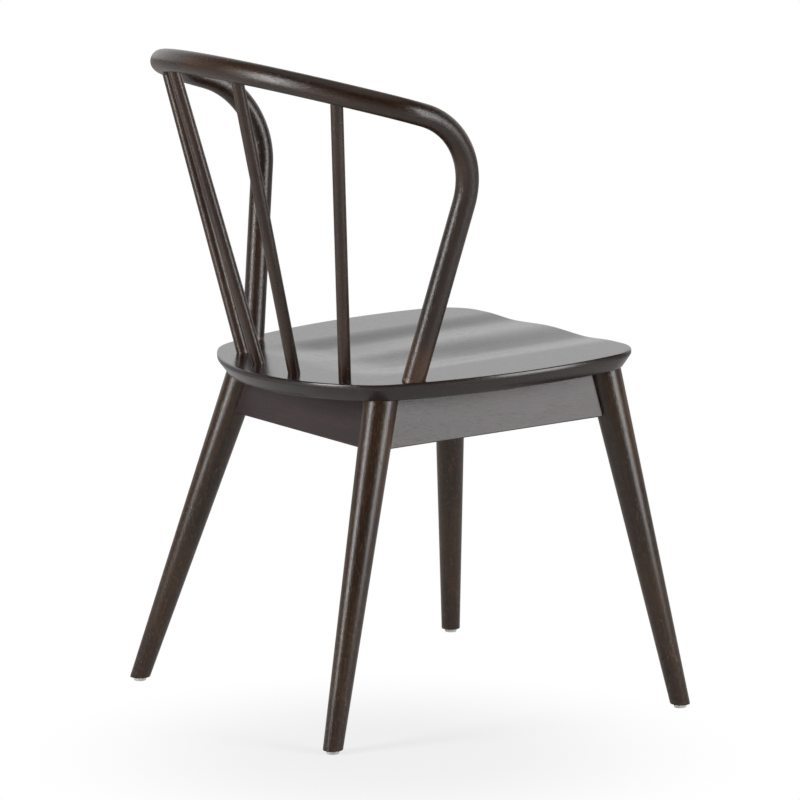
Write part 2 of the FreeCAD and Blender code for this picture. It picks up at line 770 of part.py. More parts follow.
def make_glides():
    nails = []
    for leg in legs.values():
        name = leg.name.replace("leg", "glide")
        centre = glide_point(leg)
        body = doc.addObject("PartDesign::Body", name + "_turned")
        sketch = new_sketch(body, name + "_profile", "XZ_Plane")
        radius, height = size("glide_diameter") / 2, size("glide_height")
        bend, bore = size("glide_round"), size("nail_diameter") / 2 + size("glue_gap") / 2
        floor = height - size("nail_in_glide") - size("glue_gap")
        arc = Part.ArcOfCircle(Part.Circle(V(radius - bend, bend, 0), UP, bend),
                               1.5 * math.pi, 2 * math.pi)
        corners = [V(radius, bend, 0), V(radius, height, 0), V(bore, height, 0),
                   V(bore, floor, 0), V(0, floor, 0), V(0, 0, 0), V(radius - bend, 0, 0)]
        sketch.addGeometry(arc, False)
        for start, stop in zip(corners, corners[1:]):
            sketch.addGeometry(Part.LineSegment(start, stop), False)
        close_up(sketch)
        number = sketch.addConstraint(Sketcher.Constraint("Radius", 0, bend))
        sketch.setExpression(f"Constraints[{number}]", "sizes.glide_round")
        turned = body.newObject("PartDesign::Revolution", name + "_revolve")
        turned.Profile = sketch
        turned.ReferenceAxis = (sketch, ["V_Axis"])
        turned.Angle = 360
        body.Placement = FreeCAD.Placement(centre, FreeCAD.Rotation())
        node(body, name)
        start = centre + V(0, 0, size("glide_height") - size("nail_in_glide"))
        nails.append(rod(name + "_nail", "sizes.nail_diameter / 2", "sizes.nail_length",
                         start, UP))
    group("glide_nails", nails)


make_seat()
make_hoop()
make_spindles()
make_legs()
make_aprons()
make_blocks()
make_glides()
make_fasteners()
doc.recompute()

for item in doc.Objects:
    if "Invalid" in item.State or "Error" in item.State:
        raise RuntimeError(f"{item.Label} failed: {item.State}")
os.makedirs("parts", exist_ok=True)
for part in nodes:
    shape = part.Shape
    if shape.isNull() or not shape.isValid():
        raise RuntimeError(f"{part.Label} has no valid shape")
    print(part.Label, len(shape.Solids), round(shape.Volume), [round(value, 1) for value in (
        shape.BoundBox.XMin, shape.BoundBox.XMax, shape.BoundBox.YMin, shape.BoundBox.YMax,
        shape.BoundBox.ZMin, shape.BoundBox.ZMax)])
for part in nodes:
    part.Shape.exportStep(f"parts/{part.Label}.step")
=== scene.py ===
import math

import bmesh
import bpy
import numpy as np
from mathutils import Matrix, Vector


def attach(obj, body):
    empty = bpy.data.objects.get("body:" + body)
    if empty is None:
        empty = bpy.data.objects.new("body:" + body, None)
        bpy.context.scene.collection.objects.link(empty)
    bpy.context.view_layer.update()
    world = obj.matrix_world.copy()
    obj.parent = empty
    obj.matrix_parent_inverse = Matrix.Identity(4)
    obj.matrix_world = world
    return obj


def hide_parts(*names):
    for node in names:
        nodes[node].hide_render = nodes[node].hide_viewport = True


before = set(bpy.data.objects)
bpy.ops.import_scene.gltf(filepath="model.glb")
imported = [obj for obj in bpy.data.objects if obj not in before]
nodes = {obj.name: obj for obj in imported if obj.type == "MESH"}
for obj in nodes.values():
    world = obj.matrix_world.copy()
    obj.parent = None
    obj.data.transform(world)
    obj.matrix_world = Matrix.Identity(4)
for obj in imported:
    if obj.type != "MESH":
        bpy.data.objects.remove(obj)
scene = bpy.context.scene
bpy.context.view_layer.update()
print("frame: loaded", len(nodes), "CAD nodes")

zAxis = Vector((0, 0, 1))

cameraView = {
    "azimuth": 237.458, "elevation": 9.689, "distance": 6.1704,
    "target": (-0.00321, -0.00482, 0.37852), "aim": (-0.00980, -0.01515, 0.37484),
    "lens": 222.825, "sensor": 36.0, "clip": (0.1, 100),
}


def makeCamera(view):
    # stands where the photograph was taken from, and looks a little past its target
    az, el = math.radians(view["azimuth"]), math.radians(view["elevation"])
    back = Vector((math.sin(az) * math.cos(el), -math.cos(az) * math.cos(el), math.sin(el)))
    data = bpy.data.cameras.new("camera")
    data.lens, data.sensor_width = view["lens"], view["sensor"]
    data.clip_start, data.clip_end = view["clip"]
    camera = bpy.data.objects.new("camera", data)
    scene.collection.objects.link(camera)
    camera.location = Vector(view["target"]) + back * view["distance"]
    camera.rotation_mode = "QUATERNION"
    ahead = Vector(view["aim"]) - camera.location
    camera.rotation_quaternion = ahead.to_track_quat("-Z", "Y")
    scene.camera = camera
    return math.atan2(back.y, back.x)


viewAngle = makeCamera(cameraView)
print("camera: set")


def addNode(tree, kind, inputs=(), **settings):
    made = tree.nodes.new(kind)
    for name, value in settings.items():
        setattr(made, name, value)
    for key, value in dict(inputs).items():
        if isinstance(value, bpy.types.NodeSocket):
            tree.links.new(value, made.inputs[key])
        else:
            made.inputs[key].default_value = value
    return made


def maths(tree, operation, first, second=0.0, clamp=False):
    made = addNode(tree, "ShaderNodeMath", {0: first, 1: second}, operation=operation)
    made.use_clamp = clamp
    return made.outputs[0]


def mixColours(tree, factor, first, second):
    made = addNode(tree, "ShaderNodeMix", {0: factor, 6: first, 7: second}, data_type="RGBA")
    return made.outputs[2]


def ramp(tree, value, low, high, out=(0.0, 1.0), smooth=True):
    made = addNode(tree, "ShaderNodeMapRange", {0: value, 1: low, 2: high, 3: out[0], 4: out[1]})
    made.interpolation_type = "SMOOTHSTEP" if smooth else "LINEAR"
    return made.outputs[0]


def grainNoise(tree, vector, across, along, detail, roughness, distortion=0.0):
    # noise with its own scale across and along the grain
    place = addNode(tree, "ShaderNodeVectorMath", {0: vector, 1: (across, across, along)},
                    operation="MULTIPLY")
    made = addNode(tree, "ShaderNodeTexNoise",
                   {"Vector": place.outputs[0], "Scale": 1.0, "Detail": detail,
                    "Roughness": roughness, "Distortion": distortion})
    return made.outputs[0]


def newGroup(name, inputs, outputs):
    group = bpy.data.node_groups.new(name, "ShaderNodeTree")
    for label, kind, value in inputs:
        made = group.interface.new_socket(label, in_out="INPUT", socket_type=kind)
        if value is not None:
            made.default_value = value
    for label, kind in outputs:
        group.interface.new_socket(label, in_out="OUTPUT", socket_type=kind)
    source = group.nodes.new("NodeGroupInput").outputs
    target = group.nodes.new("NodeGroupOutput").inputs
    return group, source, target


floatKind, colourKind, vectorKind = "NodeSocketFloat", "NodeSocketColor", "NodeSocketVector"


def edgeMask(group, radius, low, high):
    # 1 on outer edges and corners, where the rounded normal leaves the face's own
    soft = addNode(group, "ShaderNodeBevel", {"Radius": radius}, samples=6)
    facing = group.nodes.new("ShaderNodeNewGeometry")
    match = addNode(group, "ShaderNodeVectorMath",
                    {0: soft.outputs[0], 1: facing.outputs["Normal"]}, operation="DOT_PRODUCT")
    return ramp(group, match.outputs["Value"], low, high)


# scales are in spots to the metre, across and along the grain
stainGrain = {
    "bands": {"across": 75, "along": 3, "detail": 3, "roughness": 0.55, "distortion": 0.5},
    "fibres": {"across": 620, "along": 12, "detail": 4, "roughness": 0.6},
    "patches": {"across": 16, "along": 6, "detail": 2, "roughness": 0.5},
    "pores": {"across": 1350, "along": 110, "detail": 1, "roughness": 0.5},
    "flecks": {"across": 640, "along": 260, "detail": 3, "roughness": 0.65},
    "rubs": {"across": 60, "along": 22, "detail": 4, "roughness": 0.65},
    "ringBreaks": {"across": 150, "along": 60, "detail": 3, "roughness": 0.6},
}
stainLevels = {
    "pores": (0.60, 0.68), "poresInBands": (0.35, 0.6, (0.45, 1.0)), "flecks": (0.54, 0.64),
    "bandShare": 0.55, "fibreShare": 0.45, "figure": (0.34, 0.66), "patches": (0.42, 0.72),
    "fibresInPatches": (0.3, 0.7, (0.5, 1.0)), "poreColour": (0.004, 0.003, 0.003, 1),
    "rubs": (0.46, 0.66), "edgeRadius": 0.0022, "edges": (0.985, 0.90),
    "ringBreaks": (0.35, 0.6), "glossOfFibres": (0.2, 0.8, (0.95, 1.07)),
    "poreRoughness": 0.12, "fleckShine": 0.05, "fibreHeight": 0.15, "poreDepth": 0.35,
    "fleckHeight": 0.75, "bumpDepth": 0.0004,
}


def buildStainGroup(grains, levels):
    # stained beech with Z along the grain: bands, fibres, pores, flecks and rubbed edges
    group, given, made = newGroup(
        "stainedGrain",
        [("Grain", vectorKind, None), ("Deep", colourKind, (0.010, 0.006, 0.005, 1)),
         ("Stain", colourKind, (0.03, 0.016, 0.011, 1)),
         ("Warm", colourKind, (0.08, 0.036, 0.02, 1)),
         ("Rubbed", colourKind, (0.2, 0.08, 0.045, 1)),
         ("Patches", floatKind, 0.4), ("Pores", floatKind, 0.6), ("Flecks", floatKind, 0.4),
         ("Wear", floatKind, 0.5), ("Rub", floatKind, 0.0), ("Gloss", floatKind, 0.36)],
        [("Color", colourKind), ("Roughness", floatKind), ("Height", floatKind)])
    bands, fibres, patches, pores, flecks, rubs = [
        grainNoise(group, given["Grain"], **grains[name])
        for name in ("bands", "fibres", "patches", "pores", "flecks", "rubs")]
    pores = maths(group, "MULTIPLY", ramp(group, pores, *levels["pores"]),
                  ramp(group, bands, *levels["poresInBands"]))
    flecks = ramp(group, flecks, *levels["flecks"])
    figure = maths(group, "ADD", maths(group, "MULTIPLY", bands, levels["bandShare"]),
                   maths(group, "MULTIPLY", fibres, levels["fibreShare"]))
    figure = ramp(group, figure, *levels["figure"])
    colour = mixColours(group, figure, given["Deep"], given["Stain"])
    warmth = maths(group, "MULTIPLY", ramp(group, patches, *levels["patches"]),
                   given["Patches"])
    warmth = maths(group, "MULTIPLY", warmth, ramp(group, fibres, *levels["fibresInPatches"]))
    warmth = maths(group, "MAXIMUM", warmth, maths(group, "MULTIPLY", flecks, given["Flecks"]))
    colour = mixColours(group, warmth, colour, given["Warm"])
    poreShade = maths(group, "MULTIPLY", pores, given["Pores"])
    colour = mixColours(group, poreShade, colour, levels["poreColour"])
    edge = edgeMask(group, levels["edgeRadius"], *levels["edges"])
    edge = maths(group, "MULTIPLY", edge, ramp(group, rubs, *levels["rubs"]))
    edge = maths(group, "MULTIPLY", edge, given["Wear"])
    edge = maths(group, "MAXIMUM", edge, given["Rub"], clamp=True)
    colour = mixColours(group, edge, colour, given["Rubbed"])
    rough = maths(group, "MULTIPLY", given["Gloss"],
                  ramp(group, fibres, *levels["glossOfFibres"], smooth=False))
    rough = maths(group, "ADD", rough,
                  maths(group, "MULTIPLY", pores, levels["poreRoughness"]))
    rough = maths(group, "SUBTRACT", rough,
                  maths(group, "MULTIPLY", flecks, levels["fleckShine"]))
    height = maths(group, "SUBTRACT", maths(group, "MULTIPLY", fibres, levels["fibreHeight"]),
                   maths(group, "MULTIPLY", poreShade, levels["poreDepth"]))
    height = maths(group, "ADD", height,
                   maths(group, "MULTIPLY", flecks, levels["fleckHeight"]))
    group.links.new(colour, made["Color"])
    group.links.new(rough, made["Roughness"])
    group.links.new(height, made["Height"])
    return group


scuffLevels = {
    "clouds": {"across": 260, "along": 260, "detail": 3, "roughness": 0.6},
    "scuffs": {"across": 1900, "along": 420, "detail": 4, "roughness": 0.65,
               "distortion": 1.2},
    "marks": (0.52, 0.70), "marksInClouds": (0.3, 0.7, (0.25, 1.0)), "markRoughness": 0.3,
    "cloudRoughness": (0.2, 0.8, (-0.05, 0.06)), "bumpDepth": 0.0001,
}


def buildScuffGroup(levels):
    # small parts of metal or nylon: a cloudy surface with fine scuffs
    group, given, made = newGroup(
        "scuffedSurface",
        [("Place", vectorKind, None), ("Base", colourKind, (0.5, 0.5, 0.5, 1)),
         ("Marks", colourKind, (0.2, 0.2, 0.2, 1)), ("Amount", floatKind, 0.5),
         ("Gloss", floatKind, 0.4)],
        [("Color", colourKind), ("Roughness", floatKind), ("Height", floatKind)])
    clouds = grainNoise(group, given["Place"], **levels["clouds"])
    scuffs = grainNoise(group, given["Place"], **levels["scuffs"])
    marks = maths(group, "MULTIPLY", ramp(group, scuffs, *levels["marks"]),
                  ramp(group, clouds, *levels["marksInClouds"]))
    marks = maths(group, "MULTIPLY", marks, given["Amount"], clamp=True)
    rough = maths(group, "ADD", given["Gloss"],
                  maths(group, "MULTIPLY", marks, levels["markRoughness"]))
    rough = maths(group, "ADD", rough, ramp(group, clouds, *levels["cloudRoughness"]))
    group.links.new(mixColours(group, marks, given["Base"], given["Marks"]), made["Color"])
    group.links.new(rough, made["Roughness"])
    group.links.new(maths(group, "MULTIPLY", scuffs, given["Amount"]), made["Height"])
    return group


stainGroup = buildStainGroup(stainGrain, stainLevels)
scuffGroup = buildScuffGroup(scuffLevels)


def emptyMaterial(name):
    material = bpy.data.materials.new(name)
    material.use_nodes = True
    material.node_tree.nodes.clear()
    return material, material.node_tree


def startMaterial(name, look, group, bumpDepth):
    material, tree = emptyMaterial(name)
    shader = addNode(tree, "ShaderNodeBsdfPrincipled",
                     {"IOR": look["ior"], "Metallic": look.get("metal", 0.0)})
    output = tree.nodes.new("ShaderNodeOutputMaterial")
    tree.links.new(shader.outputs[0], output.inputs["Surface"])
    surface = addNode(tree, "ShaderNodeGroup", node_tree=group)
    for label, value in look["group"].items():
        surface.inputs[label].default_value = value
    bump = addNode(tree, "ShaderNodeBump", {"Strength": look["bump"], "Distance": bumpDepth,
                                            "Height": surface.outputs["Height"]})
    tree.links.new(surface.outputs["Color"], shader.inputs["Base Color"])
    tree.links.new(surface.outputs["Roughness"], shader.inputs["Roughness"])
    tree.links.new(bump.outputs[0], shader.inputs["Normal"])
    return material, tree, surface


def grainAlong(tree, centre, direction):
    # object coordinates turned so that Z runs along the grain, with 0 at the centre
    place = tree.nodes.new("ShaderNodeTexCoord").outputs["Object"]
    turn = Vector(direction).rotation_difference(zAxis)
    start = turn @ -Vector(centre)
    made = addNode(tree, "ShaderNodeMapping", {"Vector": place, "Rotation": turn.to_euler(),
                                               "Location": start})
    return made.outputs[0]


def rubRing(tree, grain, low, high, soft):
    # 1 where the place along the grain lies between two values
    along = addNode(tree, "ShaderNodeSeparateXYZ", {0: grain}).outputs[2]
    rise = ramp(tree, along, low - soft, low)
    fall = ramp(tree, along, high + soft, high)
    return maths(tree, "MULTIPLY", rise, fall)


def stainedWood(name, look, centre=(0, 0, 0), direction=(0, 0, 1), attribute=None, rings=()):
    material, tree, surface = startMaterial(name, look, stainGroup, stainLevels["bumpDepth"])
    if attribute:
        grain = addNode(tree, "ShaderNodeAttribute", attribute_name=attribute).outputs["Vector"]
    else:
        grain = grainAlong(tree, centre, direction)
    tree.links.new(grain, surface.inputs["Grain"])
    masks = [rubRing(tree, grain, *ring) for ring in rings]
    if masks:
        together = masks[0]
        for mask in masks[1:]:
            together = maths(tree, "ADD", together, mask)
        breaks = grainNoise(tree, grain, **stainGrain["ringBreaks"])
        broken = ramp(tree, breaks, *stainLevels["ringBreaks"])
        tree.links.new(maths(tree, "MULTIPLY", together, broken), surface.inputs["Rub"])
    return material


def scuffed(name, look):
    material, tree, surface = startMaterial(name, look, scuffGroup, scuffLevels["bumpDepth"])
    place = tree.nodes.new("ShaderNodeTexCoord").outputs["Object"]
    tree.links.new(place, surface.inputs["Place"])
    return material


def longAxis(node):
    # lower end and long direction of a straight CAD node
    points = np.array([v.co for v in node.data.vertices])
    middle = points.mean(0)
    ways = np.linalg.eigh(np.cov((points - middle).T))[1]
    way = Vector(ways[:, 2])
    if way.z < 0:
        way = -way
    reach = (points - middle) @ np.array(way)
    return Vector(middle) + way * float(reach.min()), way


def dress(node, material):
    node.data.materials.clear()
    node.data.materials.append(material)


woodLooks = {
    "leg": {"bump": 0.22, "ior": 1.5, "group": {
        "Deep": (0.010, 0.0042, 0.0020, 1), "Stain": (0.031, 0.0128, 0.0058, 1),
        "Warm": (0.140, 0.076, 0.026, 1), "Rubbed": (0.20, 0.085, 0.045, 1),
        "Patches": 0.35, "Pores": 0.50, "Flecks": 0.55, "Wear": 0.6, "Gloss": 0.30}},
    "spindle": {"bump": 0.25, "ior": 1.5, "group": {
        "Deep": (0.015, 0.0072, 0.0044, 1), "Stain": (0.038, 0.0185, 0.0110, 1),
        "Warm": (0.125, 0.062, 0.031, 1), "Rubbed": (0.20, 0.085, 0.05, 1),
        "Patches": 0.65, "Pores": 0.55, "Flecks": 0.30, "Wear": 0.6, "Gloss": 0.28}},
    "rod": {"bump": 0.28, "ior": 1.5, "group": {
        "Deep": (0.008, 0.0038, 0.0023, 1), "Stain": (0.025, 0.0118, 0.0068, 1),
        "Warm": (0.105, 0.052, 0.025, 1), "Rubbed": (0.20, 0.085, 0.05, 1),
        "Patches": 0.60, "Pores": 0.55, "Flecks": 0.30, "Wear": 0.6, "Gloss": 0.29}},
    "apron": {"bump": 0.15, "ior": 1.5, "group": {
        "Deep": (0.015, 0.0072, 0.0084, 1), "Stain": (0.030, 0.0150, 0.0170, 1),
        "Warm": (0.055, 0.027, 0.026, 1), "Rubbed": (0.16, 0.09, 0.07, 1),
        "Patches": 0.30, "Pores": 0.40, "Flecks": 0.15, "Wear": 0.5, "Gloss": 0.38}},
    "seat": {"bump": 0.04, "ior": 1.5, "group": {
        "Deep": (0.013, 0.0085, 0.0080, 1), "Stain": (0.022, 0.0145, 0.0130, 1),
        "Warm": (0.045, 0.025, 0.018, 1), "Rubbed": (0.24, 0.105, 0.060, 1),
        "Patches": 0.25, "Pores": 0.30, "Flecks": 0.06, "Wear": 0.8, "Gloss": 0.19}},
    "block": {"bump": 0.35, "ior": 1.45, "group": {
        "Deep": (0.030, 0.015, 0.009, 1), "Stain": (0.075, 0.037, 0.020, 1),
        "Warm": (0.16, 0.085, 0.045, 1), "Rubbed": (0.35, 0.21, 0.12, 1),
        "Patches": 0.5, "Pores": 0.6, "Flecks": 0.3, "Wear": 0.7, "Gloss": 0.62}},
    "dowel": {"bump": 0.3, "ior": 1.45, "group": {
        "Deep": (0.30, 0.19, 0.11, 1), "Stain": (0.46, 0.31, 0.19, 1),
        "Warm": (0.50, 0.32, 0.18, 1), "Rubbed": (0.56, 0.41, 0.27, 1),
        "Patches": 0.4, "Pores": 0.3, "Flecks": 0.3, "Wear": 0.4, "Gloss": 0.65}},
}
smallLooks = {
    "steel": {"bump": 0.3, "ior": 1.5, "metal": 1.0, "group": {
        "Base": (0.56, 0.56, 0.55, 1), "Marks": (0.28, 0.26, 0.24, 1), "Amount": 0.6,
        "Gloss": 0.32}},
    "nylon": {"bump": 0.4, "ior": 1.5, "group": {
        "Base": (0.60, 0.60, 0.58, 1), "Marks": (0.30, 0.28, 0.25, 1), "Amount": 0.8,
        "Gloss": 0.45}},
}

# seat: one board with a rounded plan, an undercut edge and a hollowed top
seatShape = {
    "height": 0.4365, "pitch": 2.6, "thickness": 0.022, "rim": 0.006, "undercut": 0.0115,
    "halfWidth": 0.234, "widest": -0.0905, "rearReach": 0.197, "frontReach": 0.2485,
    "rearArc": 0.289, "sideArc": 0.525, "frontArc": 6.4, "rearCorner": 0.080,
    "frontCorner": 0.065, "topRound": 0.0016, "roundSteps": 4, "rimRound": 0.0012,
    "rimSteps": 3, "flatBand": 0.030, "bandSteps": 12, "middle": (0, -0.03, 0), "rings": 60,
    "ringStart": 0.4, "steps": (26, 26, 44, 26, 32), "weld": 1e-5,
}
hollowShape = {
    "depth": 0.0046, "wallInner": 0.072, "wallOuter": 0.142, "rearEnd": 0.122,
    "rearFade": 0.085, "frontDepth": 0.66, "frontFrom": -0.32305, "fullDepthAt": -0.10,
    "ridgeWidth": (0.058, 0.030), "ridgeHeight": (1.0, 0.25), "ridgeFrom": -0.15,
    "ridgeTo": 0.06,
}


def smoothShare(value, low, high):
    share = min(1.0, max(0.0, (value - low) / (high - low)))
    return share * share * (3 - 2 * share)


def seatHollow(shape, x, y):
    # depth under the seat's flat top: two thigh dips, with a ridge that sinks to the rear
    outer = 1 - smoothShare(abs(x), shape["wallInner"], shape["wallOuter"])
    rear = 1 - smoothShare(y, shape["rearEnd"] - shape["rearFade"], shape["rearEnd"])
    front = smoothShare(y, shape["frontFrom"], shape["fullDepthAt"])
    along = shape["frontDepth"] + (1 - shape["frontDepth"]) * front
    run = smoothShare(y, shape["ridgeFrom"], shape["ridgeTo"])
    width = shape["ridgeWidth"][0] + (shape["ridgeWidth"][1] - shape["ridgeWidth"][0]) * run
    height = shape["ridgeHeight"][0] + (shape["ridgeHeight"][1] - shape["ridgeHeight"][0]) * run
    ridge = height * math.exp(-(x / width) ** 2)
    return shape["depth"] * outer * rear * along * (1 - ridge)


def touchInside(first, firstRadius, second, secondRadius, radius):
    # centre of a small arc that touches two larger arcs from inside
    a, b = firstRadius - radius, secondRadius - radius
    gap = second - first
    base = (a * a - b * b + gap.length_squared) / (2 * gap.length)
    rise = math.sqrt(a * a - base * base)
    way = gap.normalized()
    return first + way * base + Vector((way.y, -way.x, 0)) * rise


def heading(start, stop):
    return math.atan2(stop.y - start.y, stop.x - start.x)


def makeSeat(shape):
    bm = bmesh.new()
    rear = Vector((0, shape["rearReach"] - shape["rearArc"], 0))
    side = Vector((shape["halfWidth"] - shape["sideArc"], shape["widest"], 0))
    front = Vector((0, shape["frontArc"] - shape["frontReach"], 0))
    rearCorner = touchInside(rear, shape["rearArc"], side, shape["sideArc"], shape["rearCorner"])
    frontCorner = touchInside(side, shape["sideArc"], front, shape["frontArc"],
                              shape["frontCorner"])
    turns = [-math.pi / 2, heading(front, frontCorner), heading(side, frontCorner),
             heading(side, rearCorner), heading(rear, rearCorner), math.pi / 2]
    centres = [front, frontCorner, side, rearCorner, rear]
    # half the outline, drawn by a point that turns about each arc's centre
    tip = bmesh.ops.create_vert(bm, co=(0, -shape["frontReach"], 0))["vert"][0]
    for centre, begin, end, count in zip(centres, turns, turns[1:], shape["steps"]):
        made = bmesh.ops.spin(bm, geom=[tip], cent=centre, axis=zAxis, angle=end - begin,
                              steps=count, use_duplicate=False)
        tip = made["geom_last"][0]
    bmesh.ops.mirror(bm, geom=bm.verts[:] + bm.edges[:], axis="X", merge_dist=shape["weld"])
    bmesh.ops.remove_doubles(bm, verts=bm.verts[:], dist=shape["weld"])
    lower = bmesh.ops.contextual_create(bm, geom=bm.edges[:])["faces"][0]
    if lower.normal.z < 0:
        lower.normal_flip()
    bmesh.ops.translate(bm, verts=lower.verts[:], vec=(0, 0, -shape["topRound"]))
    made = bmesh.ops.extrude_face_region(bm, geom=[lower], use_keep_orig=True)["geom"]
    upper = [item for item in made if isinstance(item, bmesh.types.BMFace)][0]
    bmesh.ops.translate(bm, verts=lower.verts[:],
                        vec=(0, 0, shape["topRound"] - shape["rim"]))
    bmesh.ops.recalc_face_normals(bm, faces=bm.faces[:])
    # the undercut below the rim, then the rounded edges
    rimEdges = lower.edges[:]
    bmesh.ops.inset_region(bm, faces=[lower], thickness=shape["undercut"],
                           depth=shape["thickness"] - shape["rim"], use_even_offset=True)
    bmesh.ops.bevel(bm, geom=rimEdges + lower.edges[:], offset=shape["rimRound"],
                    segments=shape["rimSteps"], profile=0.5, affect="EDGES", material=-1)
    # the top's edge is drawn in and up along a quarter circle
    reach, rise = 0.0, 0.0
    for step in range(1, shape["roundSteps"] + 1):
        turn = math.pi / 2 * step / shape["roundSteps"]
        nextReach = shape["topRound"] * (1 - math.cos(turn))
        nextRise = shape["topRound"] * math.sin(turn)
        bmesh.ops.inset_region(bm, faces=[upper], thickness=nextReach - reach,
                               depth=nextRise - rise, use_even_offset=True)
        reach, rise = nextReach, nextRise
    for step in range(shape["bandSteps"]):
        bmesh.ops.inset_region(bm, faces=[upper], use_even_offset=True,
                               thickness=shape["flatBand"] / shape["bandSteps"])
    # rings that close in on the middle, so the hollow has points to sit on
    start, middle = shape["ringStart"], Vector(shape["middle"])
    for left in range(shape["rings"], 0, -1):
        bmesh.ops.inset_region(bm, faces=[upper], thickness=0.0)
        share = (left - 1 + start) / (left + start)
        bmesh.ops.scale(bm, vec=(share, share, 1), verts=upper.verts[:],
                        space=Matrix.Translation(-middle))
    bmesh.ops.poke(bm, faces=[upper])
    for vert in bm.verts:
        level = 1 + vert.co.z / shape["rim"]
        if level > 0:
            vert.co.z -= seatHollow(hollowShape, vert.co.x, vert.co.y) * min(1.0, level)
    turn = Matrix.Rotation(math.radians(-shape["pitch"]), 4, "X")
    bmesh.ops.transform(bm, verts=bm.verts[:],
                        matrix=Matrix.Translation((0, 0, shape["height"])) @ turn)
    return bm


sharpEdge = math.radians(40)


def finishPiece(name, bm, material, nodeName):
    mesh = bpy.data.meshes.new(name)
    bm.to_mesh(mesh)
    bm.free()
    mesh.materials.append(material)
    mesh.shade_smooth()
    mesh.set_sharp_from_angle(angle=sharpEdge)
    piece = bpy.data.objects.new(name, mesh)
    scene.collection.objects.link(piece)
    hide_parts(nodeName)
    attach(piece, "root")
    return piece


pitch = math.radians(seatShape["pitch"])
seatMaterial = stainedWood("seatStain", woodLooks["seat"], (0, 0, seatShape["height"]),
                           (0, math.cos(pitch), -math.sin(pitch)))
seatPiece = finishPiece("seat_sculpted", makeSeat(seatShape), seatMaterial, "seat")
print("seat: sculpted,", len(seatPiece.data.polygons), "faces")

# back hoop: one bent rod, with the grain running round its bends
hoopShape = {
    "rod": 0.028, "crest": (0.270, 0.810), "slope": 16.5, "crestArc": 0.299, "crestAngle": 53.0,
    "shoulderArc": 0.074, "shoulderAngle": 38.5, "armStraight": 0.004, "kneeArc": 0.100,
    "foot": (0.1876, 0.0795), "housing": 0.006, "tenonRod": 0.018, "tenonLength": 0.008,
    "shoulderRound": 0.0006, "rubWidth": 0.0016, "rubFade": 0.0012, "around": 48,
    "kneeRounds": 30,
    "steps": {"tenon": 2, "upright": 40, "knee": 26, "arm": 1, "shoulder": 20, "crest": 84},
}


def seatPoint(shape, x, y, z=0.0):
    turn = Matrix.Rotation(math.radians(-shape["pitch"]), 3, "X")
    return turn @ Vector((x, y, z)) + Vector((0, 0, shape["height"]))


def hoopPath(shape):
    # end points, bend centres and bend axes of the +X half
    slope = math.radians(shape["slope"])
    back = Vector((0, math.cos(slope), math.sin(slope)))
    crest = Vector((0, *shape["crest"]))
    big, small = shape["crestArc"], shape["shoulderArc"]

    def spoke(angle):
        turn = math.radians(angle)
        return Vector((math.sin(turn), 0, 0)) + back * math.cos(turn)

    crestCentre = crest - back * big
    bend, finish = shape["crestAngle"], shape["crestAngle"] + shape["shoulderAngle"]
    shoulderCentre = crestCentre + spoke(bend) * (big - small)
    armStart = shoulderCentre + spoke(finish) * small
    armWay = spoke(finish + 90)
    foot = seatPoint(seatShape, *shape["foot"])
    reach = shape["kneeArc"]
    # the knee's corner settles where the upright meets the foot
    for step in range(shape["kneeRounds"]):
        corner = armStart + armWay * (shape["armStraight"] + reach)
        down = (foot - corner).normalized()
        reach = shape["kneeArc"] * math.tan(armWay.angle(down) / 2)
    inward = (down - armWay * down.dot(armWay)).normalized()
    return {"end": foot + down * shape["housing"], "down": down, "armWay": armWay,
            "kneeEnd": corner + down * reach,
            "kneeCentre": corner - armWay * reach + inward * shape["kneeArc"],
            "kneeAxis": armWay.cross(down).normalized(), "kneeAngle": armWay.angle(down),
            "shoulderCentre": shoulderCentre, "crestCentre": crestCentre,
            "crestAxis": Vector((1, 0, 0)).cross(back)}


class GrowingRod:
    # a ring of edges that is drawn out step by step, and keeps its place along the grain

    def __init__(self, start, way, radius, around):
        self.bm = bmesh.new()
        self.layer = self.bm.verts.layers.float_vector.new("grain")
        turn = zAxis.rotation_difference(way).to_matrix().to_4x4()
        made = bmesh.ops.create_circle(self.bm, cap_ends=True, radius=radius, segments=around,
                                       matrix=Matrix.Translation(start) @ turn)
        for vert in made["verts"]:
            flat = turn.inverted().to_3x3() @ (vert.co - start)
            vert[self.layer] = Vector((flat.x, flat.y, 0))
        self.ring = self.bm.edges[:]
        self.middle = Vector(start)

    def grow(self, move, length, growth=1.0):
        made = bmesh.ops.extrude_edge_only(self.bm, edges=self.ring)["geom"]
        verts = [item for item in made if isinstance(item, bmesh.types.BMVert)]
        fresh = set(verts)
        self.ring = [item for item in made if isinstance(item, bmesh.types.BMEdge)
                     and fresh.issuperset(item.verts)]
        bmesh.ops.transform(self.bm, matrix=move, verts=verts)
        self.middle = move @ self.middle
        bmesh.ops.scale(self.bm, vec=(growth, growth, growth), verts=verts,
                        space=Matrix.Translation(-self.middle))
        for vert in verts:
            x, y, z = vert[self.layer]
            vert[self.layer] = Vector((x * growth, y * growth, z + length))

    def straight(self, way, length, count):
        for step in range(count):
            self.grow(Matrix.Translation(way * (length / count)), length / count)

    def bend(self, centre, axis, angle, count):
        reach = (self.middle - centre).length
        move = (Matrix.Translation(centre) @ Matrix.Rotation(angle / count, 4, axis)
                @ Matrix.Translation(-centre))
        for step in range(count):
            self.grow(move, reach * abs(angle) / count)

    def close(self):
        bmesh.ops.contextual_create(self.bm, geom=self.ring)
        bmesh.ops.remove_doubles(self.bm, verts=self.bm.verts[:], dist=1e-6)
        bmesh.ops.recalc_face_normals(self.bm, faces=self.bm.faces[:])
        return self.bm


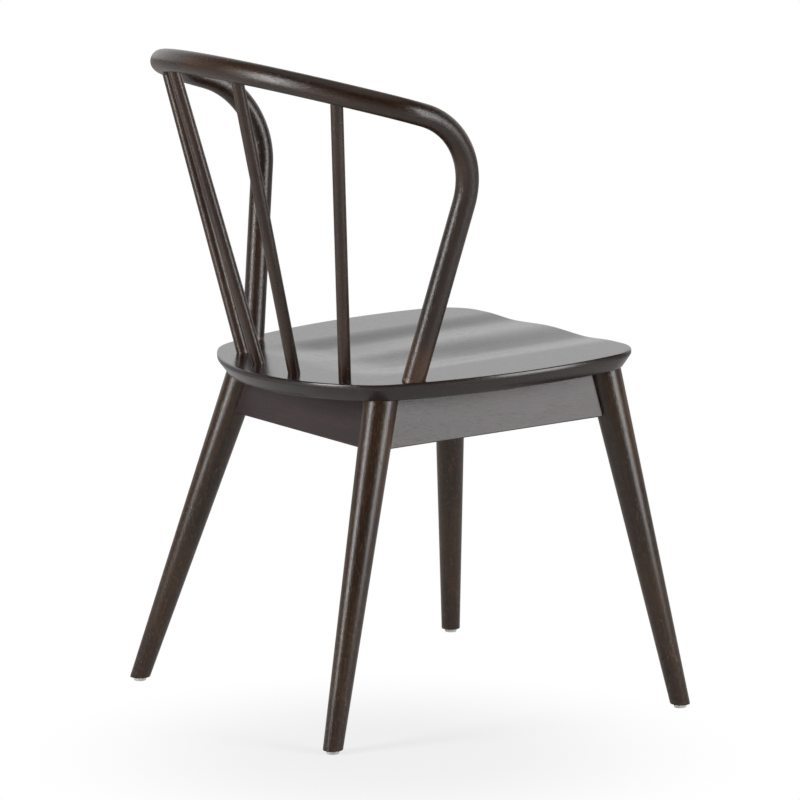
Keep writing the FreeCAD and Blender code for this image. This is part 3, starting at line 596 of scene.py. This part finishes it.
def makeHoop(shape):
    path, steps = hoopPath(shape), shape["steps"]
    flip = Vector((-1, 1, 1))
    up = -path["down"]
    tenonGrowth = shape["rod"] / shape["tenonRod"]
    ease = 1 - 2 * shape["shoulderRound"] / shape["rod"]
    still = Matrix.Identity(4)
    rod = GrowingRod(path["end"] - up * shape["tenonLength"], up, shape["tenonRod"] / 2,
                     shape["around"])
    rod.straight(up, shape["tenonLength"], steps["tenon"])
    rod.grow(still, 0.0, tenonGrowth * ease)
    rod.grow(Matrix.Translation(up * shape["shoulderRound"]), shape["shoulderRound"], 1 / ease)
    upright = (path["kneeEnd"] - rod.middle).length
    shoulder, crest = math.radians(shape["shoulderAngle"]), math.radians(shape["crestAngle"])
    rod.straight(up, upright, steps["upright"])
    rod.bend(path["kneeCentre"], path["kneeAxis"], -path["kneeAngle"], steps["knee"])
    rod.straight(-path["armWay"], shape["armStraight"], steps["arm"])
    rod.bend(path["shoulderCentre"], path["crestAxis"], shoulder, steps["shoulder"])
    rod.bend(path["crestCentre"], path["crestAxis"], 2 * crest, steps["crest"])
    rod.bend(path["shoulderCentre"] * flip, path["crestAxis"], shoulder, steps["shoulder"])
    rod.straight(path["armWay"] * flip, shape["armStraight"], steps["arm"])
    # the mirrored knee turns about the mirrored axis the other way round
    kneeAxis = (path["armWay"] * flip).cross(path["down"] * flip).normalized()
    rod.bend(path["kneeCentre"] * flip, kneeAxis, path["kneeAngle"], steps["knee"])
    down = path["down"] * flip
    rod.straight(down, upright, steps["upright"])
    rod.grow(Matrix.Translation(down * shape["shoulderRound"]), shape["shoulderRound"], ease)
    rod.grow(still, 0.0, 1 / (tenonGrowth * ease))
    rod.straight(down, shape["tenonLength"], steps["tenon"])
    length = max(vert[rod.layer].z for vert in rod.bm.verts)
    return rod.close(), length


hoopMesh, hoopLength = makeHoop(hoopShape)
# the stain is rubbed through in a thin ring where the rod enters the seat
footRing = hoopShape["tenonLength"] + hoopShape["housing"]
rubWidth, rubFade = hoopShape["rubWidth"], hoopShape["rubFade"]
hoopRings = [(footRing, footRing + rubWidth, rubFade),
             (hoopLength - footRing - rubWidth, hoopLength - footRing, rubFade)]
hoopMaterial = stainedWood("hoopStain", woodLooks["rod"], attribute="grain", rings=hoopRings)
hoopPiece = finishPiece("back_hoop_bent", hoopMesh, hoopMaterial, "back_hoop")
print("hoop: bent,", len(hoopPiece.data.polygons), "faces")

# legs: plain tapers whose tops run up to the seat's undercut
legShape = {
    "rear": {"foot": (0.2334, 0.2243), "head": (0.1602, 0.1107)},
    "front": {"foot": (0.2614, -0.2692), "head": (0.1786, -0.2125)},
    "headDrop": 0.0405, "footRod": 0.024, "headRod": 0.042, "glide": 0.0045,
    "intoSeat": 0.0040, "spare": 0.060, "chamfer": 0.001, "chamferSteps": 2,
    "around": 72,
}


def makeLeg(shape, end, sign):
    # a taper longer than the leg, cut off in the seat's undercut and at the sole
    flip = Vector((sign, 1, 1))
    foot = Vector((*shape[end]["foot"], 0)) * flip
    head = Vector((*shape[end]["head"], seatShape["height"] - shape["headDrop"])) * flip
    run, spare = head - foot, shape["spare"]
    extra = (shape["headRod"] - shape["footRod"]) / 2 / run.length * spare
    turn = zAxis.rotation_difference(run).to_matrix().to_4x4()
    bm = bmesh.new()
    bmesh.ops.create_cone(bm, cap_ends=True, segments=shape["around"],
                          radius1=shape["footRod"] / 2 - extra,
                          radius2=shape["headRod"] / 2 + extra, depth=run.length + 2 * spare,
                          matrix=Matrix.Translation((foot + head) / 2) @ turn)
    underSeat = shape["intoSeat"] - seatShape["thickness"]
    seatUp = seatPoint(seatShape, 0, 0, 1) - seatPoint(seatShape, 0, 0)
    sole = Vector((0, 0, shape["glide"]))
    for point, way in ((seatPoint(seatShape, 0, 0, underSeat), seatUp), (sole, -zAxis)):
        made = bmesh.ops.bisect_plane(bm, geom=bm.verts[:] + bm.edges[:] + bm.faces[:],
                                      plane_co=point, plane_no=way, clear_outer=True)
        ring = [item for item in made["geom_cut"] if isinstance(item, bmesh.types.BMEdge)]
        bmesh.ops.contextual_create(bm, geom=ring)
    bmesh.ops.bevel(bm, geom=ring, offset=shape["chamfer"], segments=shape["chamferSteps"],
                    profile=0.5, affect="EDGES", material=-1)
    bmesh.ops.recalc_face_normals(bm, faces=bm.faces[:])
    return bm, foot, run


for end in ("rear", "front"):
    for side, sign in (("right", -1), ("left", 1)):
        name = f"leg_{end}_{side}"
        legMesh, foot, run = makeLeg(legShape, end, sign)
        legMaterial = stainedWood(name + "_stain", woodLooks["leg"], foot, run)
        finishPiece(name + "_tapered", legMesh, legMaterial, name)
print("legs: tapered")

# where each spindle's stain is rubbed, along the rod from its lower end
spindleRing = {"low": 0.0130, "high": 0.0138, "soft": 0.0006}
for name, node in nodes.items():
    start, way = longAxis(node)
    if name == "apron_dowels":
        dress(node, stainedWood("dowelBeech", woodLooks["dowel"], start, (1, 0, 0)))
    elif name.startswith("apron_"):
        dress(node, stainedWood(name + "_stain", woodLooks["apron"], start, way))
    elif name.startswith("spindle_"):
        dress(node, stainedWood(name + "_stain", woodLooks["spindle"], start, way,
                                rings=[tuple(spindleRing.values())]))
    elif name.startswith("corner_block_"):
        dress(node, stainedWood(name + "_stain", woodLooks["block"], start, way))
    elif name.startswith("glide_") and name != "glide_nails":
        dress(node, scuffed(name + "_nylon", smallLooks["nylon"]))
    elif name in ("glide_nails", "block_screws", "seat_screws"):
        dress(node, scuffed(name + "_steel", smallLooks["steel"]))
print("materials: every CAD node dressed")

# stage: pale floor, a bright side behind the chair and two tall soft lamps
stage = {
    "leftLamp": {"angle": -60.0, "away": 2.7, "height": 1.15, "aim": (0, 0, 0.6),
                 "size": (0.85, 2.2), "radiance": 12.0},
    "rightLamp": {"angle": 60.5, "away": 2.7, "height": 1.05, "aim": (0, 0, 0.6),
                  "size": (1.2, 2.1), "radiance": 7.8},
    "topLamp": {"angle": 0.0, "away": 0.0, "height": 3.2, "aim": (0, 0.001, 0),
                "size": (2.4, 2.4), "radiance": 0.55},
    "worldDim": 0.08, "worldFar": 1.02, "farFrom": 0.15, "farTo": 0.75,
    "farHeight": (0.24, 0.80), "farTop": 0.10,
    # the floor's glow dips near the chair, which paints shade on the floor around the real shadow
    "floor": (0.70, 0.70, 0.70, 1), "floorGlow": (0.74, 1.0), "paintedShadeReach": (0.08, 0.46),
    "floorReach": 30, "paintedShadowShift": 0.32, "glossyShare": 0.25,
}


def makeLamp(name, lamp):
    width, height = lamp["size"]
    data = bpy.data.lights.new(name, "AREA")
    data.shape, data.size, data.size_y = "RECTANGLE", width, height
    data.energy = lamp["radiance"] * width * height * math.pi
    turn = viewAngle + math.radians(lamp["angle"])
    place = Vector((math.cos(turn), math.sin(turn), 0)) * lamp["away"]
    place.z = lamp["height"]
    made = bpy.data.objects.new(name, data)
    scene.collection.objects.link(made)
    made.location = place
    made.rotation_mode = "QUATERNION"
    made.rotation_quaternion = (Vector(lamp["aim"]) - place).to_track_quat("-Z", "Y")


def seenRays(tree):
    # all ray kinds, and 1 for what the camera sees straight or through something clear
    rays = tree.nodes.new("ShaderNodeLightPath").outputs
    return rays, maths(tree, "MAXIMUM", rays["Is Camera Ray"], rays["Is Transmission Ray"])


def makeWorld(stage):
    world = bpy.data.worlds.new("studio")
    scene.world = world
    world.use_nodes = True
    tree = world.node_tree
    tree.nodes.clear()
    direction = tree.nodes.new("ShaderNodeTexCoord").outputs["Generated"]
    far = (-math.cos(viewAngle), -math.sin(viewAngle), 0)
    facing = addNode(tree, "ShaderNodeVectorMath", {0: direction, 1: far},
                     operation="DOT_PRODUCT").outputs["Value"]
    level = ramp(tree, facing, stage["farFrom"], stage["farTo"],
                 (stage["worldDim"], stage["worldFar"]))
    height = addNode(tree, "ShaderNodeSeparateXYZ", {0: direction}).outputs[2]
    level = maths(tree, "MULTIPLY", level,
                  ramp(tree, height, *stage["farHeight"], (1.0, stage["farTop"])))
    level = maths(tree, "MAXIMUM", level, seenRays(tree)[1])
    sky = addNode(tree, "ShaderNodeBackground", {"Color": (1, 1, 1, 1), "Strength": level})
    output = tree.nodes.new("ShaderNodeOutputWorld")
    tree.links.new(sky.outputs[0], output.inputs[0])


def makeFloor(stage):
    bm = bmesh.new()
    bmesh.ops.create_grid(bm, x_segments=1, y_segments=1, size=stage["floorReach"])
    mesh = bpy.data.meshes.new("floor")
    bm.to_mesh(mesh)
    bm.free()
    floor = bpy.data.objects.new("floor", mesh)
    scene.collection.objects.link(floor)
    material, tree = emptyMaterial("paleFloor")
    matt = addNode(tree, "ShaderNodeBsdfDiffuse", {"Color": stage["floor"]})
    white = addNode(tree, "ShaderNodeEmission", {"Color": (1, 1, 1, 1), "Strength": 1.0})
    place = tree.nodes.new("ShaderNodeTexCoord").outputs["Object"]
    # painted shade: the floor glows less in a disc shifted toward the camera's side of the chair,
    # so the floor is darker there as a painted shadow pool, and the real shadow shows through
    # most there
    middle = [-stage["paintedShadowShift"] * part for part in (math.cos(viewAngle), math.sin(viewAngle))]
    place = addNode(tree, "ShaderNodeMapping", {"Vector": place, "Location": (*middle, 0)})
    away = addNode(tree, "ShaderNodeVectorMath", {0: place.outputs[0]},
                   operation="LENGTH").outputs["Value"]
    glow = ramp(tree, away, *stage["paintedShadeReach"], stage["floorGlow"])
    rays, seen = seenRays(tree)
    mirrored = maths(tree, "MULTIPLY", rays["Is Glossy Ray"], stage["glossyShare"])
    seen = maths(tree, "MAXIMUM", seen, mirrored)
    blend = addNode(tree, "ShaderNodeMixShader", {0: maths(tree, "MULTIPLY", seen, glow),
                                                  1: matt.outputs[0], 2: white.outputs[0]})
    output = tree.nodes.new("ShaderNodeOutputMaterial")
    tree.links.new(blend.outputs[0], output.inputs[0])
    mesh.materials.append(material)


for lampName in ("leftLamp", "rightLamp", "topLamp"):
    makeLamp(lampName, stage[lampName])
makeWorld(stage)
makeFloor(stage)
scene.view_settings.view_transform = "Standard"
print("stage: lamps, world and floor set")
